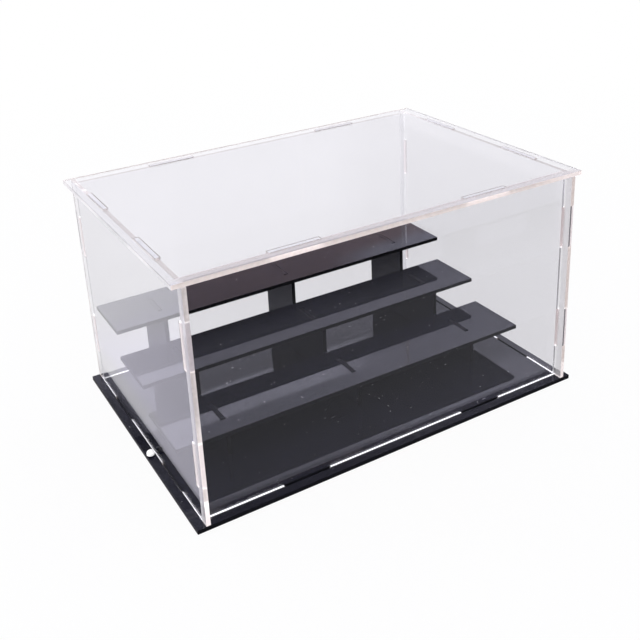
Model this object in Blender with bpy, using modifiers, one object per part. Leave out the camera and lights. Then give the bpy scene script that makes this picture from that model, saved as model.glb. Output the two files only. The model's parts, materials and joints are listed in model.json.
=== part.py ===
# Tiered display case: a clear lift-off cover on a black base, with a three-step stand inside.
# Every sheet is cut flat, and its tabs pass through slots in the sheets that it meets.
# X runs along the front, Y to the back and Z up. The origin is under the middle of the base.

import math

import bmesh
import bpy
from mathutils import Euler, Vector

# Sheet and overall sizes, in metres
sheet_thickness = 0.003
base_length = 0.310
base_depth = 0.210
case_height = 0.170

# How far the walls stand in from the edges of the base and the lid
side_wall_inset = 0.006
front_wall_inset = 0.0065

# Gap left between sheets that touch, and around a tab in its slot
fit_clearance = 0.0003

# Tabs of the front and back panels into the base and the lid
long_tab_length = 0.0354
long_tab_offset = 0.073

# Tabs of the side panels into the base and the lid
side_tab_length = 0.036
side_tab_offset = 0.048

# Tabs of the front and back panels through the side panels
corner_tab_length = 0.0315
corner_tab_offset = 0.041

# Stand: shelves, each named by its tier
lower_shelf_depth = 0.050
middle_shelf_depth = 0.047
upper_shelf_depth = 0.0475
lower_rise = 0.025
middle_rise = 0.019
upper_rise = 0.021
shelf_end_gap = 0.002
stand_back_gap = 0.0009
lower_shelf_step_gap = 0.0055

# Stand: upright supports and the tabs that rise from them through the shelves
support_end_inset = 0.038
support_tab_length = 0.0206
slot_spare_length = 0.0011
lower_slot_setback = 0.015
middle_slot_setback = 0.015
upper_slot_setback = 0.012
step_setback = 0.0008
toe_setback = 0.0086
support_back_inset = 0.0015

# Round-headed plug in the left border of the base
button_head_radius = 0.0027
button_head_height = 0.0033
button_head_side_height = 0.0010
button_stem_radius = 0.0013
button_stem_length = 0.0024
button_forward_place = 0.017
button_segments = 32
button_profile_segments = 8

# Colours, roughness and see-through share of the finishes
black_colour = (0.012, 0.011, 0.014, 1.0)
black_roughness = 0.06
clear_colour = (0.93, 0.94, 0.96, 1.0)
clear_roughness = 0.02
clear_alpha_share = 0.25
white_colour = (0.86, 0.86, 0.84, 1.0)
white_roughness = 0.35

# Places that several sheets share
half_length = base_length / 2
half_depth = base_depth / 2
side_outer_x = half_length - side_wall_inset
side_inner_x = side_outer_x - sheet_thickness
side_middle_x = side_outer_x - sheet_thickness / 2
front_outer_y = half_depth - front_wall_inset
front_inner_y = front_outer_y - sheet_thickness
front_middle_y = front_outer_y - sheet_thickness / 2
wall_foot_z = sheet_thickness + fit_clearance
wall_head_z = case_height - sheet_thickness - fit_clearance
wall_middle_z = case_height / 2
slot_width = sheet_thickness + 2 * fit_clearance

# Places along the stand, from its back edge forwards
stand_back_y = front_inner_y - stand_back_gap
upper_front_y = stand_back_y - upper_shelf_depth
middle_back_y = upper_front_y
middle_front_y = middle_back_y - middle_shelf_depth
lower_back_y = middle_front_y - lower_shelf_step_gap
lower_front_y = lower_back_y - lower_shelf_depth

# Half the length of a shelf, and how far the outer supports stand from the middle one
shelf_half_length = side_inner_x - shelf_end_gap
support_spacing = shelf_half_length - support_end_inset

# Heights of the shelf tops
lower_top_z = sheet_thickness + lower_rise
middle_top_z = lower_top_z + middle_rise
upper_top_z = middle_top_z + upper_rise

# Turns that lay a flat outline in the plane of its sheet
flat_turn = (0.0, 0.0, 0.0)
facing_front_turn = (math.pi / 2, 0.0, 0.0)
facing_side_turn = (math.pi / 2, 0.0, math.pi / 2)


def clear_scene():
    for old in list(bpy.data.objects):
        bpy.data.objects.remove(old, do_unlink=True)


def make_collection(name):
    collection = bpy.data.collections.new(name)
    bpy.context.scene.collection.children.link(collection)
    return collection


def make_empty(name, collection):
    empty = bpy.data.objects.new(name, None)
    empty.empty_display_size = half_length
    collection.objects.link(empty)
    return empty


def make_material(name, colour, roughness, alpha=1.0):
    material = bpy.data.materials.new(name)
    material.use_nodes = True
    shader = material.node_tree.nodes["Principled BSDF"]
    shader.inputs["Base Color"].default_value = colour
    shader.inputs["Roughness"].default_value = roughness
    shader.inputs["Metallic"].default_value = 0.0
    shader.inputs["Alpha"].default_value = alpha
    material.diffuse_color = (*colour[:3], alpha)
    return material


def tab_spans(offset, length):
    # Start and end of a pair of tabs, one on each side of the middle of an edge
    return [(centre - length / 2, centre + length / 2) for centre in (-offset, offset)]


def tabbed_edge(start, end, spans, reach):
    # One edge as (along, out) points, stepping out by the reach at each tab
    forwards = end > start
    points = [(start, 0.0)]
    for low, high in sorted(spans, reverse=not forwards):
        first, last = (low, high) if forwards else (high, low)
        points += [(first, 0.0), (first, reach), (last, reach), (last, 0.0)]
    return points


def tabbed_outline(half_width, low, high, foot, head, flank):
    # A rectangle with tabs on its foot, its head and both flanks, each given as (spans, reach)
    bottom = [(u, low - out) for u, out in tabbed_edge(-half_width, half_width, *foot)]
    right = [(half_width + out, v) for v, out in tabbed_edge(low, high, *flank)]
    top = [(u, high + out) for u, out in tabbed_edge(half_width, -half_width, *head)]
    left = [(-half_width - out, v) for v, out in tabbed_edge(high, low, *flank)]
    return bottom + right + top + left


def rectangle(centre_u, centre_v, length_u, length_v):
    half_u, half_v = length_u / 2, length_v / 2
    corners = ((-1, -1), (1, -1), (1, 1), (-1, 1))
    return [(centre_u + u * half_u, centre_v + v * half_v) for u, v in corners]


def cut_sheet(name, outline, slots, place, turn, material, parent, collection):
    # A flat outline with its slots, as thick as the sheet and centred on its plane
    curve = bpy.data.curves.new(name, "CURVE")
    curve.dimensions = "2D"
    curve.fill_mode = "BOTH"
    curve.extrude = sheet_thickness / 2
    for loop in [outline] + slots:
        spline = curve.splines.new("POLY")
        spline.points.add(len(loop) - 1)
        for point, (u, v) in zip(spline.points, loop):
            point.co = (u, v, 0.0, 1.0)
        spline.use_cyclic_u = True
    curve.materials.append(material)
    sheet = bpy.data.objects.new(name, curve)
    sheet.location = Vector(place)
    sheet.rotation_euler = Euler(turn)
    sheet.parent = parent
    collection.objects.link(sheet)
    return sheet


def wall_slots():
    # Slots in the base and the lid, where the tabs of the four walls pass
    slots = []
    for side in (-1, 1):
        for centre in (-long_tab_offset, long_tab_offset):
            length = long_tab_length + 2 * fit_clearance
            slots.append(rectangle(centre, side * front_middle_y, length, slot_width))
        for centre in (-side_tab_offset, side_tab_offset):
            length = side_tab_length + 2 * fit_clearance
            slots.append(rectangle(side * side_middle_x, centre, slot_width, length))
    return slots


def button_place():
    return Vector((-(half_length - side_wall_inset / 2), -button_forward_place, 0.0))


def stem_bore():
    # Round hole in the border of the base for the stem of the plug
    centre = button_place()
    radius = button_stem_radius + fit_clearance
    turns = [2 * math.pi * step / button_segments for step in range(button_segments)]
    return [(centre.x + radius * math.cos(turn), centre.y + radius * math.sin(turn)) for turn in turns]


def make_plate(name, middle_z, bores, material, parent, collection):
    # Base or lid: the same outline and the same slots
    outline = rectangle(0.0, 0.0, base_length, base_depth)
    place = (0.0, 0.0, middle_z)
    openings = wall_slots() + bores
    return cut_sheet(name, outline, openings, place, flat_turn, material, parent, collection)


def make_long_wall(name, side, material, parent, collection):
    # Front or back panel, held between the side panels by tabs on all four edges
    foot_tabs = (tab_spans(long_tab_offset, long_tab_length), sheet_thickness)
    head_tabs = (foot_tabs[0], sheet_thickness + fit_clearance)
    flank_spans = [
        (wall_middle_z + low, wall_middle_z + high)
        for low, high in tab_spans(corner_tab_offset, corner_tab_length)
    ]
    flank_tabs = (flank_spans, sheet_thickness + fit_clearance)
    half_width = side_inner_x - fit_clearance
    outline = tabbed_outline(half_width, wall_foot_z, wall_head_z, foot_tabs, head_tabs, flank_tabs)
    place = (0.0, side * front_middle_y, 0.0)
    return cut_sheet(name, outline, [], place, facing_front_turn, material, parent, collection)


def make_side_wall(name, side, material, parent, collection):
    # Side panel, as deep as the base, with slots for the tabs of the front and back panels
    foot_tabs = (tab_spans(side_tab_offset, side_tab_length), sheet_thickness)
    head_tabs = (foot_tabs[0], sheet_thickness + fit_clearance)
    outline = tabbed_outline(half_depth, wall_foot_z, wall_head_z, foot_tabs, head_tabs, ([], 0.0))
    slots = []
    for end in (-1, 1):
        for centre in (-corner_tab_offset, corner_tab_offset):
            length = corner_tab_length + 2 * fit_clearance
            slots.append(rectangle(end * front_middle_y, wall_middle_z + centre, slot_width, length))
    place = (side * side_middle_x, 0.0, 0.0)
    return cut_sheet(name, outline, slots, place, facing_side_turn, material, parent, collection)


def stand_tiers():
    # Front, back and top of each shelf, where its slots start, and the front of its step
    return {
        "lower": (lower_front_y, lower_back_y, lower_top_z, lower_slot_setback, toe_setback),
        "middle": (middle_front_y, middle_back_y, middle_top_z, middle_slot_setback, step_setback),
        "upper": (upper_front_y, stand_back_y, upper_top_z, upper_slot_setback, step_setback),
    }


def make_shelf(tier, material, parent, collection):
    front, back, top, slot_setback, _ = stand_tiers()[tier]
    outline = rectangle(0.0, (front + back) / 2, 2 * shelf_half_length, back - front)
    slot_length = slot_spare_length + support_tab_length + fit_clearance
    slot_y = front + slot_setback + slot_length / 2
    slots = [
        rectangle(centre, slot_y, slot_width, slot_length)
        for centre in (-support_spacing, 0.0, support_spacing)
    ]
    place = (0.0, 0.0, top - sheet_thickness / 2)
    return cut_sheet(f"{tier}_shelf", outline, slots, place, flat_turn, material, parent, collection)


def support_outline():
    # Stair-shaped side view from the foot, up the back and down the steps to the toe
    back_y = stand_back_y - support_back_inset
    points = [(back_y, wall_foot_z)]
    step_back_y = back_y
    for tier in ("upper", "middle", "lower"):
        front, _, top, slot_setback, riser_setback = stand_tiers()[tier]
        seat_z = top - sheet_thickness - fit_clearance
        tab_front = front + slot_setback + slot_spare_length
        tab_back = tab_front + support_tab_length
        step_front_y = front + riser_setback
        points += [(step_back_y, seat_z), (tab_back, seat_z), (tab_back, top)]
        points += [(tab_front, top), (tab_front, seat_z), (step_front_y, seat_z)]
        step_back_y = step_front_y
    points.append((step_back_y, wall_foot_z))
    return points


def make_support(name, centre_x, material, parent, collection):
    place = (centre_x, 0.0, 0.0)
    turn = facing_side_turn
    return cut_sheet(name, support_outline(), [], place, turn, material, parent, collection)


def make_button(material, collection):
    # Turned plug: a stem in the bore and a domed head that lies on the border
    head_foot_z = sheet_thickness + fit_clearance
    head_side_z = head_foot_z + button_head_side_height
    head_top_z = head_foot_z + button_head_height
    dome_height = head_top_z - head_side_z
    profile = []
    for step in range(button_profile_segments + 1):
        angle = math.pi / 2 * (1 - step / button_profile_segments)
        radius = button_head_radius * math.cos(angle) if step else 0.0
        profile.append((radius, head_side_z + dome_height * math.sin(angle)))
    profile.append((button_head_radius, head_foot_z))
    profile.append((button_stem_radius, head_foot_z))
    profile.append((button_stem_radius, head_foot_z - button_stem_length))
    profile.append((0.0, head_foot_z - button_stem_length))
    mesh = bpy.data.meshes.new("edge_button")
    line = bmesh.new()
    verts = [line.verts.new((radius, 0.0, height)) for radius, height in profile]
    for first, second in zip(verts, verts[1:]):
        line.edges.new((first, second))
    line.to_mesh(mesh)
    line.free()
    mesh.materials.append(material)
    button = bpy.data.objects.new("edge_button", mesh)
    button.location = button_place()
    collection.objects.link(button)
    turn = button.modifiers.new("turn", "SCREW")
    turn.steps = button_segments
    turn.render_steps = button_segments
    turn.use_merge_vertices = True
    turn.merge_threshold = 0.00001
    turn.use_smooth_shade = True
    return button


clear_scene()
parts = make_collection("tiered_display_case")
black = make_material("black acrylic", black_colour, black_roughness)
clear = make_material("clear acrylic", clear_colour, clear_roughness, clear_alpha_share)
white = make_material("white plastic", white_colour, white_roughness)

# Base: the plate and its plug
make_plate("base_plate", sheet_thickness / 2, [stem_bore()], black, None, parts)
make_button(white, parts)

# Cover: five clear sheets that lift off straight up together
cover = make_empty("cover", parts)
make_plate("top_panel", case_height - sheet_thickness / 2, [], clear, cover, parts)
make_long_wall("front_panel", -1, clear, cover, parts)
make_long_wall("back_panel", 1, clear, cover, parts)
make_side_wall("left_side_panel", -1, clear, cover, parts)
make_side_wall("right_side_panel", 1, clear, cover, parts)

# Stand: three shelves on three stair-shaped supports, which lifts out as one
stand = make_empty("stand", parts)
for tier_name in stand_tiers():
    make_shelf(tier_name, black, stand, parts)
make_support("left_support", -support_spacing, black, stand, parts)
make_support("middle_support", 0.0, black, stand, parts)
make_support("right_support", support_spacing, black, stand, parts)
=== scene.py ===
# Tiered display case: a clear cover of tabbed sheets over a black base and a stepped black stand.
import json
import math
import bpy
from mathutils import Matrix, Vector

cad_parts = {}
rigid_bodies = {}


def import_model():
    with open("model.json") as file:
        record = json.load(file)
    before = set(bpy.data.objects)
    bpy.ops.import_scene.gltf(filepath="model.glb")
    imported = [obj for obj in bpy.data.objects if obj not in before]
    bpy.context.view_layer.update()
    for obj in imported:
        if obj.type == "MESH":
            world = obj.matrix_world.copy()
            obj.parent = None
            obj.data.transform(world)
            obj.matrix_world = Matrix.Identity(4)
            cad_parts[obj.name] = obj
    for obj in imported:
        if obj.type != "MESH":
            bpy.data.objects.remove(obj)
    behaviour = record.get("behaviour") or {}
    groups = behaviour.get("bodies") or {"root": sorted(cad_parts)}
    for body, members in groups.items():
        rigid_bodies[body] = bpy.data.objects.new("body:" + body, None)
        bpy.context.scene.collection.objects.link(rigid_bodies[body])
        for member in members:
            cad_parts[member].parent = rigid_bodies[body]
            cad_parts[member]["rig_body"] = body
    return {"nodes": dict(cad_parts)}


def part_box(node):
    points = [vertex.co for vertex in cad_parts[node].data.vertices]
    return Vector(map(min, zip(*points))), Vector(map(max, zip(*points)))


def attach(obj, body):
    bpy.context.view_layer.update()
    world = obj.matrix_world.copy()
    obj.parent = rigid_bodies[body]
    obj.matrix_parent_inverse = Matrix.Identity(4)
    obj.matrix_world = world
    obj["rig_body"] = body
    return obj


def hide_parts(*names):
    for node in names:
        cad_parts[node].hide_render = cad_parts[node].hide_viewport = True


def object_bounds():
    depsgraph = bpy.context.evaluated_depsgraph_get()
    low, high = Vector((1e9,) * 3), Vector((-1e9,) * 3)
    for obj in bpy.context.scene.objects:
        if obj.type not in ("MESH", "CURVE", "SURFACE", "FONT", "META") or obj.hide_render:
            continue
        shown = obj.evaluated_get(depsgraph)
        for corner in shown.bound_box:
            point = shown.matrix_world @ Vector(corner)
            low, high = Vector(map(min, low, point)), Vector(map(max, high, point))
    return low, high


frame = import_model()
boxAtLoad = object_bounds()
nodes = frame["nodes"]
print("frame loaded:", len(nodes), "sheets and small parts")


# a socket that sums like a number, so that shader maths reads as plain sums
class Wire:
    def __init__(self, finish, socket):
        self.finish = finish
        self.socket = socket

    def maths(self, operation, *others):
        return self.finish.add("ShaderNodeMath", {"operation": operation}, dict(enumerate((self, *others))))

    def reflected(self, operation, first):
        return self.finish.add("ShaderNodeMath", {"operation": operation}, {0: first, 1: self})

    def __add__(self, other):
        return self.maths("ADD", other)

    def __radd__(self, other):
        return self.maths("ADD", other)

    def __sub__(self, other):
        return self.maths("SUBTRACT", other)

    def __rsub__(self, other):
        return self.reflected("SUBTRACT", other)

    def __mul__(self, other):
        return self.maths("MULTIPLY", other)

    def __rmul__(self, other):
        return self.maths("MULTIPLY", other)

    def __truediv__(self, other):
        return self.maths("DIVIDE", other)

    def __rtruediv__(self, other):
        return self.reflected("DIVIDE", other)

    def __gt__(self, other):
        return self.maths("GREATER_THAN", other)

    def __lt__(self, other):
        return self.maths("LESS_THAN", other)

    def clamped(self):
        return self.maths("MAXIMUM", 0.0).maths("MINIMUM", 1.0)

    def between(self, start, end):
        # 0 up to start, 1 from end on, and a straight slope between them
        return ((self - start) * (1.0 / (end - start))).clamped()


class Finish:
    def __init__(self, owner, outputKind="ShaderNodeOutputMaterial"):
        owner.use_nodes = True
        self.owner = owner
        self.tree = owner.node_tree
        self.tree.nodes.clear()
        self.output = self.tree.nodes.new(outputKind)

    def add(self, kind, settings=None, sockets=None, out=0):
        # one node: its settings first, then the value or the link of each socket
        node = self.tree.nodes.new(kind)
        for key, value in (settings or {}).items():
            if key == "stops":
                self.setStops(node.color_ramp.elements, value)
            else:
                setattr(node, key, value)
        for key, value in (sockets or {}).items():
            if isinstance(value, Wire):
                self.tree.links.new(value.socket, node.inputs[key])
            else:
                node.inputs[key].default_value = value
        return Wire(self, node.outputs[out])

    def setStops(self, elements, stops):
        while len(elements) < len(stops):
            elements.new(1.0)
        for element, (place, colour) in zip(elements, stops):
            element.position = place
            element.color = colour

    def mix(self, factor, first, second):
        return self.add("ShaderNodeMix", {"data_type": "RGBA"}, {0: factor, 6: first, 7: second}, out=2)

    def mixShader(self, factor, first, second):
        return self.add("ShaderNodeMixShader", None, {0: factor, 1: first, 2: second})

    def objectPlace(self):
        return self.add("ShaderNodeTexCoord", out="Object")

    def along(self, place, axis):
        return self.add("ShaderNodeSeparateXYZ", None, {0: place}, out=axis)

    def stretched(self, scale):
        return self.add("ShaderNodeMapping", None, {"Vector": self.objectPlace(), "Scale": scale})

    def noise(self, place, scale, detail=2.0, roughness=0.5):
        sockets = {"Vector": place, "Scale": scale, "Detail": detail, "Roughness": roughness}
        return self.add("ShaderNodeTexNoise", None, sockets)

    def specks(self, place, scale, radius, keep):
        # small round specks, one in some of the cells of a scattered grid
        cells = {"Vector": place, "Scale": scale, "Randomness": 1.0}
        distance = self.add("ShaderNodeTexVoronoi", {"feature": "F1"}, cells)
        picked = self.add("ShaderNodeTexVoronoi", {"feature": "F1"}, cells, out=1)
        lot = self.add("ShaderNodeSeparateColor", None, {0: picked})
        return (distance < radius) * (lot < keep)

    def lightPath(self, out):
        return self.add("ShaderNodeLightPath", out=out)

    def mirrored(self):
        # 1 for what is seen by way of a gloss
        return self.lightPath("Glossy Depth") > 0.5

    def bounced(self):
        # 1 for what lights a matte face
        return self.lightPath("Diffuse Depth") > 0.5

    def finish(self, shader):
        self.tree.links.new(shader.socket, self.output.inputs["Surface"])
        return self.owner


def newFinish(name):
    return Finish(bpy.data.materials.new(name))


def solid(colour):
    return (*colour, 1.0)


plainWhite = solid((1.0, 1.0, 1.0))
noLight = solid((0.0, 0.0, 0.0))

# clear acrylic: smooth glass with a grey cast and a little dust,
# which lets the lamp through to the black sheets
clearLook = {
    "tint": (0.92, 0.915, 0.935, 1.0),
    "bend": 1.49,
    "lampTint": (0.93, 0.93, 0.935, 1.0),
    "dustColour": (0.80, 0.80, 0.80, 1.0),
    "dustScale": 420.0,
    "dustRadius": 0.09,
    "dustShare": 0.05,
    "dustCover": 0.5,
}


def letLampThrough(f, shader):
    lampWay = f.add("ShaderNodeBsdfTransparent", None, {"Color": clearLook["lampTint"]})
    return f.finish(f.mixShader(f.lightPath("Is Shadow Ray"), shader, lampWay))


# where the tabs of the front panel pass through the side panels, read from the front panel's own corners
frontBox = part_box("front_panel")
endReach = 0.001
tabHeights = sorted({
    round(corner.co[2], 5) for corner in nodes["front_panel"].data.vertices
    if corner.co[0] > frontBox[1][0] - endReach
})
tabSpans = list(zip(tabHeights[::2], tabHeights[1::2]))
stripFrom = -frontBox[0][1]
print("corner tabs between heights:", tabSpans)


def inSpans(height, spans):
    return sum((height > low) * (height < high) for low, high in spans)


# the strips of the side panels and of the lid that stand out in front of the front panel look milky
stripLook = {"share": 0.36, "colour": (0.72, 0.70, 0.71, 1.0), "scale": 60.0, "swing": 0.2}


def makeClear(name, milky=False):
    f = newFinish(name)
    glass = f.add("ShaderNodeBsdfPrincipled", None, {
        "Base Color": clearLook["tint"],
        "Roughness": 0.0,
        "IOR": clearLook["bend"],
        "Transmission Weight": 1.0,
    })
    dust = f.specks(f.objectPlace(), clearLook["dustScale"], clearLook["dustRadius"], clearLook["dustShare"])
    speck = f.add("ShaderNodeBsdfDiffuse", None, {"Color": clearLook["dustColour"]})
    sheet = f.mixShader(dust * clearLook["dustCover"], glass, speck)
    if milky:
        milk = f.add("ShaderNodeBsdfDiffuse", None, {"Color": stripLook["colour"]})
        outside = f.along(f.objectPlace(), "Y") < -stripFrom
        swing = stripLook["swing"]
        drift = f.noise(f.objectPlace(), stripLook["scale"], 1.0) * swing + (1.0 - swing / 2)
        sheet = f.mixShader(outside * drift * stripLook["share"], sheet, milk)
    return letLampThrough(f, sheet)


# the cut faces of the clear sheets are part polished and part frosted, and carry a painted glow that stands
# in for light carried along the sheet
edgeLook = {
    "tint": (0.985, 0.96, 0.95, 1.0),
    "markScale": 350.0,
    "driftScale": 22.0,
    "frostSwing": 0.3,
    "polish": (0.01, 0.10),
    "frostRoughness": 0.5,
    "frostGlow": 0.35,
    "footEndGlow": (0.80, 0.70, 0.64),
}
# each kind of cut face has its own share of frost, its two matte colours and its glow; these colours and
# glows are painted light and shade that differ by kind
edgeKinds = {
    "lidFront": (0.45, (0.93, 0.84, 0.80), (0.95, 0.88, 0.84), (0.37, 0.31, 0.285)),
    "lidSide": (0.75, (0.84, 0.83, 0.83), (0.88, 0.87, 0.87), (0.10, 0.10, 0.10)),
    "lidSlot": (0.55, (0.82, 0.74, 0.71), (0.88, 0.80, 0.77), (0.10, 0.08, 0.075)),
    "wallFront": (0.45, (0.93, 0.85, 0.82), (0.95, 0.88, 0.85), (0.50, 0.45, 0.42)),
    "wallSlot": (0.55, (0.90, 0.82, 0.80), (0.93, 0.85, 0.83), (0.42, 0.37, 0.36)),
    "wallTop": (0.45, (0.93, 0.84, 0.81), (0.95, 0.88, 0.84), (0.27, 0.25, 0.24)),
    "wallFlank": (0.40, (0.84, 0.83, 0.83), (0.88, 0.87, 0.87), (0.20, 0.20, 0.205)),
    "tabEnd": (0.70, (0.93, 0.87, 0.85), (0.95, 0.90, 0.88), (0.24, 0.20, 0.19)),
    "tabTop": (0.80, (0.84, 0.84, 0.86), (0.88, 0.88, 0.90), (0.0, 0.0, 0.0)),
    # the tabs' feet are painted near black as shade, and the panels' feet carry a strong painted glow
    "tabFoot": (0.90, (0.02, 0.02, 0.02), (0.03, 0.03, 0.03), (0.0, 0.0, 0.0)),
    "foot": (0.45, (0.95, 0.95, 0.95), (0.95, 0.95, 0.95), (1.5, 1.5, 1.52)),
    "rounding": (0.75, (0.86, 0.83, 0.85), (0.90, 0.87, 0.89), (0.08, 0.07, 0.08)),
    "rear": (0.40, (0.84, 0.83, 0.83), (0.88, 0.87, 0.87), (0.84, 0.84, 0.85)),
    "paleRounding": (0.75, (0.86, 0.83, 0.85), (0.90, 0.87, 0.89), (0.32, 0.31, 0.32)),
}
# beside the corner tabs the front edges of the side panels are painted darker, the right one grey with a
# painted dark core; this painted shade is placed a little above the tabs. The left one has less painted glow
# high up and the right one all along, and both are more frosted at the foot
tabZoneLook = {
    "frost": 0.35,
    "lift": 0.003,
    "middle": (0.50, 0.46, 0.47),
    "core": (0.09, 0.09, 0.10),
    "coreShare": 0.45,
    "upperLeftFrom": (0.070, 0.085),
    "upperLeftGlow": 0.4,
    "lowerLeftFade": 0.6,
    "rightGlow": (0.26, 0.20, 0.16),
    "footFrost": 0.45,
    "footFrom": 0.020,
    "footTo": 0.012,
}


def addTabZones(f, matte, glow):
    # the matte colour with its painted shade, the painted glow and the extra frost of a side panel's front
    # edge, with its tab zones
    x, z = (f.along(f.objectPlace(), axis) for axis in "XZ")
    upper = (x < 0.0) * z.between(*tabZoneLook["upperLeftFrom"])
    lower = (x < 0.0) * (z < tabZoneLook["upperLeftFrom"][0])
    faint = solid(tuple(part * tabZoneLook["upperLeftGlow"] for part in glow[:3]))
    glow = f.mix(x > 0.0, f.mix(upper, glow, faint), solid(tabZoneLook["rightGlow"]))
    sheetFrom, sheetTo = (corner[0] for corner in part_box("right_side_panel"))
    coreTo = sheetFrom + (sheetTo - sheetFrom) * tabZoneLook["coreShare"]
    # painted shade in the tab zones: grey on the right panel with a near-black core, and no glow there
    shade = f.mix(x < 0.0, matte, solid(tabZoneLook["middle"]))
    shade = f.mix((x > sheetFrom) * (x < coreTo), shade, solid(tabZoneLook["core"]))
    zone = inSpans(z - tabZoneLook["lift"], tabSpans) * (1.0 - lower * tabZoneLook["lowerLeftFade"])
    atFoot = z.between(tabZoneLook["footFrom"], tabZoneLook["footTo"])
    extra = zone * tabZoneLook["frost"] + atFoot * tabZoneLook["footFrost"]
    return f.mix(zone, matte, shade), f.mix(zone, glow, noLight), extra


def makeClearEdge(kind):
    share, dark, light, glow = edgeKinds[kind]
    f = newFinish("clearEdge" + kind[0].upper() + kind[1:])
    marks = f.noise(f.objectPlace(), edgeLook["markScale"])
    drift = f.noise(f.objectPlace(), edgeLook["driftScale"], 1.0)
    matte = f.mix(drift, solid(dark), solid(light))
    # painted glow, and painted light and shade in each kind's matte colours
    glow = solid(glow)
    frost = marks * edgeLook["frostSwing"] + (share - edgeLook["frostSwing"] / 2)
    if kind == "wallFront":
        matte, glow, extra = addTabZones(f, matte, glow)
        frost = (frost + extra).clamped()
    # painted glow along the feet, weaker and warmer at their ends
    if kind == "foot":
        atEnd = f.along(f.objectPlace(), "Y").maths("ABSOLUTE") > stripFrom
        glow = f.mix(atEnd, glow, solid(edgeLook["footEndGlow"]))
    polish, polishSwing = edgeLook["polish"]
    glass = f.add("ShaderNodeBsdfPrincipled", None, {
        "Base Color": edgeLook["tint"],
        "Roughness": marks * polishSwing + polish,
        "IOR": clearLook["bend"],
        "Transmission Weight": 1.0,
        "Emission Color": glow,
        "Emission Strength": 1.0,
    })
    frosted = f.add("ShaderNodeBsdfPrincipled", None, {
        "Base Color": matte,
        "Roughness": edgeLook["frostRoughness"],
        "Emission Color": glow,
        "Emission Strength": edgeLook["frostGlow"],
    })
    return letLampThrough(f, f.mixShader(frost, glass, frosted))


# black acrylic: a deep gloss under a thin film, and in patches dust specks and a few short fibres,
# most of them low down; each kind of speck and fibre has its scale, its radius and its share of the cells
blackLook = {
    "body": (0.004, 0.004, 0.0085, 1.0),
    "haze": (0.010, 0.010, 0.0185, 1.0),
    "film": {"scale": 14.0, "detail": 4.0, "roughness": 0.6},
    "filmGain": 1.8,
    "filmDrop": 0.5,
    "dust": (0.45, 0.45, 0.45, 1.0),
    "dustCover": (0.80, 0.08),
    "dustDrop": (0.004, 0.020),
    "patchScale": 14.0,
    "patchRange": (0.46, 0.60),
    "roughness": 0.008,
    "hazeRoughness": 0.022,
    "specks": ((150.0, 0.065, 0.70), (85.0, 0.035, 0.80)),
    "fibres": (
        ((300.0, 90.0, 80.0), 0.09, 0.16),
        ((70.0, 250.0, 80.0), 0.09, 0.16),
        ((40.0, 340.0, 90.0), 0.07, 0.3),
    ),
    "scratchStretch": (18.0, 260.0, 18.0),
    "scratch": {"scale": 8.0, "detail": 3.0},
    "scratchDent": {"Strength": 0.002, "Distance": 0.0002},
    "bend": 1.49,
}


def makeBlack():
    f = newFinish("blackAcrylic")
    place = f.objectPlace()
    film = (f.noise(place, **blackLook["film"]) * blackLook["filmGain"] - blackLook["filmDrop"]).clamped()
    fine = 0.0
    for scale, radius, share in blackLook["specks"]:
        fine = f.specks(place, scale, radius, share) + fine
    for stretch, radius, share in blackLook["fibres"]:
        fine = f.specks(f.stretched(stretch), 1.0, radius, share) + fine
    low, high = blackLook["dustCover"]
    patch = f.noise(place, blackLook["patchScale"], 1.0).between(*blackLook["patchRange"])
    cover = (f.along(place, "Z").between(*blackLook["dustDrop"]) * (high - low) + low) * patch
    body = f.mix(film, blackLook["body"], blackLook["haze"])
    spread = blackLook["hazeRoughness"] - blackLook["roughness"]
    scratches = f.noise(f.stretched(blackLook["scratchStretch"]), **blackLook["scratch"])
    dent = f.add("ShaderNodeBump", None, {**blackLook["scratchDent"], "Height": scratches})
    return f.finish(f.add("ShaderNodeBsdfPrincipled", None, {
        "Base Color": f.mix(fine.clamped() * cover, body, blackLook["dust"]),
        "Roughness": film * spread + blackLook["roughness"],
        "IOR": blackLook["bend"],
        "Normal": dent,
    }))


# the cut faces of the black sheets are dull and deep; the tops of the supports' tabs shine a little low down,
# and as much as the shelf round them higher up
blackCut = {
    "dark": (0.003, 0.003, 0.004, 1.0),
    "light": (0.008, 0.008, 0.011, 1.0),
    "streaks": (600.0, 600.0, 40.0),
    "shine": 0.06,
    "roughness": (0.35, 0.2),
    "tabShine": (0.12, 0.5),
    "tabRoughness": (0.25, 0.02),
    "tabSwing": 0.4,
    "shinyFrom": 0.06,
}


def makeBlackEdge():
    f = newFinish("blackCutEdge")
    marks = f.noise(f.stretched(blackCut["streaks"]), 1.0)
    roughness, swing = blackCut["roughness"]
    return f.finish(f.add("ShaderNodeBsdfPrincipled", None, {
        "Base Color": f.mix(marks, blackCut["dark"], blackCut["light"]),
        "Roughness": marks * swing + roughness,
        "IOR": blackLook["bend"],
        "Specular IOR Level": blackCut["shine"],
    }))


def makeBlackTabTop():
    f = newFinish("blackTabTop")
    marks = f.noise(f.stretched(blackCut["streaks"]), 1.0)
    dull, shiny = (f.add("ShaderNodeBsdfPrincipled", None, {
        "Base Color": f.mix(marks, blackLook["body"], blackLook["haze"]),
        "Roughness": marks * (roughness * blackCut["tabSwing"]) + roughness,
        "IOR": blackLook["bend"],
        "Specular IOR Level": shine,
    }) for shine, roughness in zip(blackCut["tabShine"], blackCut["tabRoughness"]))
    return f.finish(f.mixShader(f.along(f.objectPlace(), "Z") > blackCut["shinyFrom"], dull, shiny))


# the button's white plastic has a painted glow; the panel beside it shows no second button, so what is
# mirrored of it is painted dark
buttonLook = {
    "grain": 700.0,
    "whites": ((0.86, 0.86, 0.84, 1.0), (0.93, 0.93, 0.92, 1.0)),
    "glow": (0.45, 0.45, 0.44, 1.0),
    "mirrored": (0.02, 0.02, 0.022, 1.0),
    "roughness": (0.25, 0.15),
}


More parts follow.
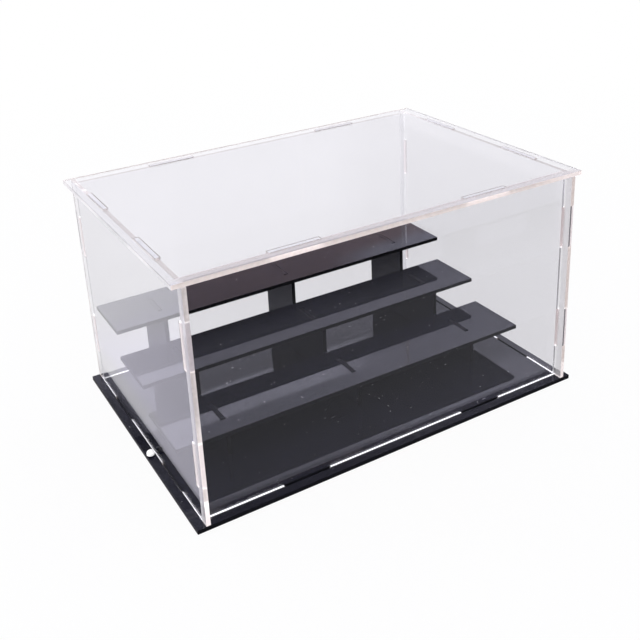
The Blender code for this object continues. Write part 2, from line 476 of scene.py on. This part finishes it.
def makeWhitePlastic():
    f = newFinish("whitePlastic")
    mottle = f.noise(f.objectPlace(), buttonLook["grain"])
    roughness, swing = buttonLook["roughness"]
    # painted glow for direct sight, and a painted dark colour where the button is seen in gloss
    return f.finish(f.add("ShaderNodeBsdfPrincipled", None, {
        "Base Color": f.mix(f.mirrored(), f.mix(mottle, *buttonLook["whites"]), buttonLook["mirrored"]),
        "Emission Color": f.mix(f.mirrored(), buttonLook["glow"], noLight),
        "Emission Strength": 1.0,
        "Roughness": mottle * swing + roughness,
    }))


clearEdges = [makeClearEdge(kind) for kind in edgeKinds]
clearFinishes = [makeClear("clearAcrylic")] + clearEdges
milkyFinishes = [makeClear("clearAcrylicMilky", milky=True)] + clearEdges
blackFinishes = [makeBlack(), makeBlackEdge(), makeBlackTabTop()]
whitePlastic = makeWhitePlastic()
print("finishes made:", len({*clearFinishes, *milkyFinishes, *blackFinishes, whitePlastic}))

# each sheet is a copy of its solid with fine rounded edges; the number is the axis it is thin along
sheets = {
    "base_plate": (2, blackFinishes),
    "top_panel": (2, milkyFinishes),
    "front_panel": (1, clearFinishes),
    "back_panel": (1, clearFinishes),
    "left_side_panel": (0, milkyFinishes),
    "right_side_panel": (0, milkyFinishes),
    "lower_shelf": (2, blackFinishes),
    "middle_shelf": (2, blackFinishes),
    "upper_shelf": (2, blackFinishes),
    "left_support": (0, blackFinishes),
    "middle_support": (0, blackFinishes),
    "right_support": (0, blackFinishes),
}
sheetTrim = {
    "mergeReach": 0.00001,
    "flatAngle": 1.0,
    "roundAngle": 40.0,
    "edgeRound": 0.0002,
    "roundSteps": 2,
    "faceShare": 0.9,  # a face looks along an axis when this much of its normal does
    "slotInset": 0.004,
    "tabReach": 0.0005,
    "rearFrom": (0.145, 0.09),
    "uprightShare": 0.1,
    "paleBetween": (0.1485, 0.152),  # the outer side of the lid's side slots
    "paleAbove": 0.16,
}


def onlySelect(piece):
    bpy.ops.object.select_all(action="DESELECT")
    piece.select_set(True)
    bpy.context.view_layer.objects.active = piece


def applyModifier(piece, kind, settings):
    modifier = piece.modifiers.new(kind.lower(), kind)
    for key, value in settings.items():
        setattr(modifier, key, value)
    onlySelect(piece)
    bpy.ops.object.modifier_apply(modifier=modifier.name)


def cutKind(normal, centre, box, axis):
    # which kind of cut face this is, by where it is on its sheet and which way it looks; each kind carries
    # its own painted light and shade
    low, high = box
    rearX, rearY = sheetTrim["rearFrom"]
    paleFrom, paleTo = sheetTrim["paleBetween"]
    others = [i for i in range(3) if i != axis]
    inside = all(min(centre[i] - low[i], high[i] - centre[i]) > sheetTrim["slotInset"] for i in others)
    atRear = centre[0] > rearX and centre[1] > rearY
    if max(abs(part) for part in normal) < sheetTrim["faceShare"]:
        if atRear and axis != 2 and abs(normal[2]) < sheetTrim["uprightShare"] and not inside:
            return "rear"
        # the outer side of the lid's side slots gets a brighter painted glow
        pale = paleFrom < abs(centre[0]) < paleTo and centre[2] > sheetTrim["paleAbove"]
        return "paleRounding" if pale else "rounding"
    if axis == 2:
        if inside:
            return "lidSlot"
        return "lidSide" if abs(normal[0]) > abs(normal[1]) else "lidFront"
    if normal[2] > sheetTrim["faceShare"]:
        return "tabTop" if centre[2] > boxAtLoad[1][2] - sheetTrim["tabReach"] else "wallTop"
    if normal[2] < -sheetTrim["faceShare"]:
        return "foot" if centre[2] > low[2] + sheetTrim["tabReach"] else "tabFoot"
    if inside:
        return "wallSlot"
    if axis == 1 and abs(centre[0]) > high[0] - sheetTrim["tabReach"]:
        return "tabEnd"
    if atRear:
        return "rear"
    return "wallFront" if axis == 0 else "wallFlank"


def dressSheet(node, axis, finishes):
    # merge the solid's triangles into whole faces, round the edges, and give faces and edges their finish
    piece = bpy.data.objects.new(node + "Sheet", nodes[node].data.copy())
    bpy.context.scene.collection.objects.link(piece)
    piece.data.materials.clear()
    for material in finishes:
        piece.data.materials.append(material)
    onlySelect(piece)
    bpy.ops.object.mode_set(mode="EDIT")
    bpy.ops.mesh.select_all(action="SELECT")
    bpy.ops.mesh.remove_doubles(threshold=sheetTrim["mergeReach"])
    bpy.ops.mesh.dissolve_limited(angle_limit=math.radians(sheetTrim["flatAngle"]))
    bpy.ops.object.mode_set(mode="OBJECT")
    applyModifier(piece, "BEVEL", {
        "width": sheetTrim["edgeRound"],
        "segments": sheetTrim["roundSteps"],
        "limit_method": "ANGLE",
        "angle_limit": math.radians(sheetTrim["roundAngle"]),
    })
    kinds = list(edgeKinds)
    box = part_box(node)
    for polygon in piece.data.polygons:
        if abs(polygon.normal[axis]) > sheetTrim["faceShare"]:
            polygon.material_index = 0
        elif finishes is blackFinishes:
            polygon.material_index = 2 if axis != 2 and polygon.normal[2] > sheetTrim["faceShare"] else 1
        else:
            polygon.material_index = 1 + kinds.index(cutKind(polygon.normal, polygon.center, box, axis))
    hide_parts(node)
    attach(piece, nodes[node]["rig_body"])


for node, (axis, finishes) in sheets.items():
    dressSheet(node, axis, finishes)
print("sheets dressed:", len(sheets))

button = nodes["edge_button"]
if button.data.materials:
    for materialSlot in button.material_slots:
        materialSlot.material = whitePlastic
else:
    button.data.materials.append(whitePlastic)
print("button dressed")

# the floor is white to the eye and keeps the object's shadow; what the sheets mirror of it is a painted
# reflection, greyer, with painted shade near the case
floorLook = {
    "size": 12.0,
    "drop": 0.0004,
    "colour": (0.82, 0.82, 0.82, 1.0),
    "whiteShare": 0.93,
    "fadeBetween": (0.25, 1.1),
    "leftBetween": (-0.158, -0.150),
    "leftLevels": (
        (-0.240, 0.92), (-0.205, 0.89), (-0.187, 0.86), (-0.175, 0.85), (-0.165, 0.82), (-0.156, 0.79),
    ),
    "lilac": (1.0, 0.974, 1.115, 1.0),
    "plain": (1.0, 0.990, 1.015, 1.0),
    "plainBehind": (0.13, 0.20),
    "plainBeside": (-0.170, -0.160),
    "plainBesideFrom": (0.0, 0.04),
    "rest": (0.30, 0.30, 0.325, 1.0),
    "ahead": (0.02, 0.02, 0.02, 1.0),
    "aheadBetween": (-0.29, -0.35),
}


def mirroredFloor(f):
    # painted reflection of the floor: left of the case painted darker towards it, lilac in front, plain far
    # back and beside the rear half; elsewhere a dim painted shade, near black far ahead
    x, y = (f.along(f.objectPlace(), axis) for axis in "XY")
    levels = floorLook["leftLevels"]
    first, last = levels[0][0], levels[-1][0]
    level = f.add("ShaderNodeValToRGB", {
        "stops": [((place - first) / (last - first), solid((tone,) * 3)) for place, tone in levels],
    }, {0: x.between(first, last)})
    beside = x.between(*floorLook["plainBeside"]) * y.between(*floorLook["plainBesideFrom"])
    plain = y.between(*floorLook["plainBehind"]).maths("MAXIMUM", beside)
    tint = f.mix(plain, floorLook["lilac"], floorLook["plain"])
    left = f.add("ShaderNodeVectorMath", {"operation": "MULTIPLY"}, {0: level, 1: tint})
    rest = f.mix(y.between(*floorLook["aheadBetween"]), floorLook["rest"], floorLook["ahead"])
    return f.mix(x.between(*floorLook["leftBetween"]), left, rest)


def makeFloor():
    f = newFinish("paleFloor")
    far = f.add("ShaderNodeVectorMath", {"operation": "LENGTH"}, {0: f.objectPlace()}, out="Value")
    matte = f.add("ShaderNodeBsdfDiffuse", None, {"Color": floorLook["colour"]})
    paper = f.add("ShaderNodeEmission", None, {"Color": plainWhite, "Strength": 1.0})
    whiteShare = floorLook["whiteShare"]
    whiteness = far.between(*floorLook["fadeBetween"]) * (1.0 - whiteShare) + whiteShare
    straight = f.mixShader(f.bounced(), f.mixShader(whiteness, matte, paper), matte)
    # painted reflection: the floor as the sheets mirror it is an emission of painted light and shade
    thrown = f.add("ShaderNodeEmission", None, {"Color": mirroredFloor(f), "Strength": 1.0})
    floorMaterial = f.finish(f.mixShader(f.mirrored(), straight, thrown))
    bpy.ops.mesh.primitive_plane_add(size=floorLook["size"], location=(0.0, 0.0, -floorLook["drop"]))
    floor = bpy.context.object
    floor.name = "paleFloor"
    floor.data.materials.append(floorMaterial)


# the studio: white to the eye, a soft dome for matte faces, and for gloss a painted reflection: a wall behind
# the case, seen only in gloss, whose brightness goes by how steeply the light comes down; three columns of
# it, from far left to right, and what the left border of the base mirrors
studio = {
    "strength": 2.0,
    "domeLow": (0.60, 0.59, 0.64),
    "domeHigh": (1.18, 1.165, 1.26),
    "domeBetween": (0.42, 0.54),
    "wallBetween": (0.40, 0.50),
    "leastAway": 0.1,
    "leastRise": 0.01,
    "steepBetween": (0.34, 0.92),
    "columns": {"left": (0.357, 0.365), "right": (0.58, 0.66)},
    "borderUpTo": (0.406, 0.418),
    "borderFrom": (0.54, 0.58),
    "twiceLevel": 0.9,
    "twiceFrom": (0.72, 0.77),
    "cool": (0.98, 0.975, 1.15),
    "plain": (1.0, 0.99, 1.04),
    "warm": (1.12, 0.88, 0.92),
}
# each tone is a steepness, a brightness and a tint
wallTones = {
    "border": (
        (0.62, 0.75, "cool"), (0.65, 0.50, "cool"), (0.69, 0.44, "cool"), (0.73, 0.20, "cool"),
        (0.76, 0.15, "cool"),
    ),
    "farLeft": (
        (0.34, 1.12, "plain"), (0.509, 1.14, "plain"), (0.511, 2.5, "cool"), (0.585, 2.5, "cool"),
        (0.602, 2.3, "cool"), (0.75, 2.3, "cool"), (0.80, 0.5, "cool"), (0.871, 0.3, "cool"),
        (0.876, 0.17, "cool"),
    ),
    "left": (
        (0.34, 1.12, "plain"), (0.502, 1.07, "plain"), (0.508, 0.62, "warm"), (0.585, 0.58, "warm"),
        (0.602, 0.87, "cool"), (0.679, 0.87, "cool"), (0.682, 1.9, "cool"), (0.732, 2.0, "cool"),
        (0.735, 0.9, "cool"), (0.80, 0.9, "cool"), (0.84, 1.2, "cool"), (0.871, 1.2, "cool"),
        (0.875, 0.17, "cool"),
    ),
    "right": (
        (0.34, 1.05, "plain"), (0.42, 0.96, "plain"), (0.50, 0.90, "plain"), (0.52, 0.74, "warm"),
        (0.533, 0.74, "warm"), (0.545, 1.08, "cool"), (0.585, 1.08, "cool"), (0.605, 0.93, "cool"),
        (0.66, 0.95, "cool"), (0.70, 1.05, "cool"), (0.80, 1.1, "cool"), (0.83, 1.6, "cool"),
        (0.871, 1.6, "cool"), (0.876, 0.3, "cool"),
    ),
}


def lampColour(level, tint):
    return solid(tuple(level * part / studio["strength"] for part in tint))


def makeTone(f, steepness, stops):
    lowest, highest = studio["steepBetween"]
    span = highest - lowest
    return f.add("ShaderNodeValToRGB", {
        "stops": [
            ((place - lowest) / span, lampColour(level, studio[tint])) for place, level, tint in stops
        ],
    }, {0: (steepness - lowest) * (1.0 / span)})


def makeWall(f, x, y, z):
    away = y.maths("MAXIMUM", studio["leastAway"])
    steepness, sideways = z / away, x / away
    tones = {column: makeTone(f, steepness, stops) for column, stops in wallTones.items()}
    # painted reflection: for steep rays on the left the border's tones give way to one even level, standing
    # in for light from the left that reaches the mirrored border of the base by way of the left panel
    twice = (x < 0.0) * steepness.between(*studio["twiceFrom"])
    border = f.mix(twice, tones["border"], lampColour(studio["twiceLevel"], studio["cool"]))
    flatness = x / z.maths("MAXIMUM", studio["leastRise"])
    onBorder = (1.0 - flatness.between(*studio["borderUpTo"])) * steepness.between(*studio["borderFrom"])
    wall = f.mix(onBorder, tones["farLeft"], border)
    for column, (start, end) in studio["columns"].items():
        wall = f.mix(sideways.between(start, end), wall, tones[column])
    return wall


def makeWorld():
    f = Finish(bpy.data.worlds.new("studio"), "ShaderNodeOutputWorld")
    bpy.context.scene.world = f.owner
    x, y, z = (f.along(f.objectPlace(), axis) for axis in "XYZ")
    wall = makeWall(f, x, y, z)
    high = z.between(*studio["domeBetween"])
    dome = f.mix(high, lampColour(1.0, studio["domeLow"]), lampColour(1.0, studio["domeHigh"]))
    # the wall shows only in gloss, as a painted reflection
    onWall = f.mirrored() * (1.0 - f.bounced()) * y.between(*studio["wallBetween"])
    lit = f.add("ShaderNodeBackground", None, {
        "Color": f.mix(onWall, dome, wall),
        "Strength": studio["strength"],
    })
    white = f.add("ShaderNodeBackground", None, {"Color": plainWhite, "Strength": 1.0})
    f.finish(f.mixShader((f.mirrored() + f.bounced()).clamped(), white, lit))


lamp = {"place": (-1.2, -0.3, 0.8), "aim": (0.0, 0.0, 0.05), "size": 0.9, "power": 3.0}


def makeLamp():
    light = bpy.data.lights.new("leftSoftbox", "AREA")
    light.shape = "SQUARE"
    light.size = lamp["size"]
    light.energy = lamp["power"]
    holder = bpy.data.objects.new("leftSoftbox", light)
    bpy.context.scene.collection.objects.link(holder)
    holder.location = lamp["place"]
    way = Vector(lamp["aim"]) - Vector(lamp["place"])
    holder.rotation_euler = way.to_track_quat("-Z", "Y").to_euler()


viewpoint = {
    "place": (-0.3036, -0.5340, 0.3899),
    "turn": (69.228, 2.398, -30.677),
    "lens": 51.01,
    "sensor": 36.0,
    "shiftY": -0.2,
    "nearest": 0.01,
}


def makeCamera():
    camera = bpy.data.cameras.new("camera")
    camera.lens = viewpoint["lens"]
    camera.sensor_width = viewpoint["sensor"]
    camera.shift_y = viewpoint["shiftY"]
    camera.clip_start = viewpoint["nearest"]
    holder = bpy.data.objects.new("camera", camera)
    bpy.context.scene.collection.objects.link(holder)
    holder.location = viewpoint["place"]
    holder.rotation_euler = [math.radians(angle) for angle in viewpoint["turn"]]
    bpy.context.scene.camera = holder


makeFloor()
makeWorld()
makeLamp()
makeCamera()
bpy.context.scene.view_settings.view_transform = "Standard"
bpy.context.scene.cycles.transparent_max_bounces = 32  # the lamp shines through many clear faces in a row
print("floor, studio, lamp and camera made")

bpy.context.view_layer.update()
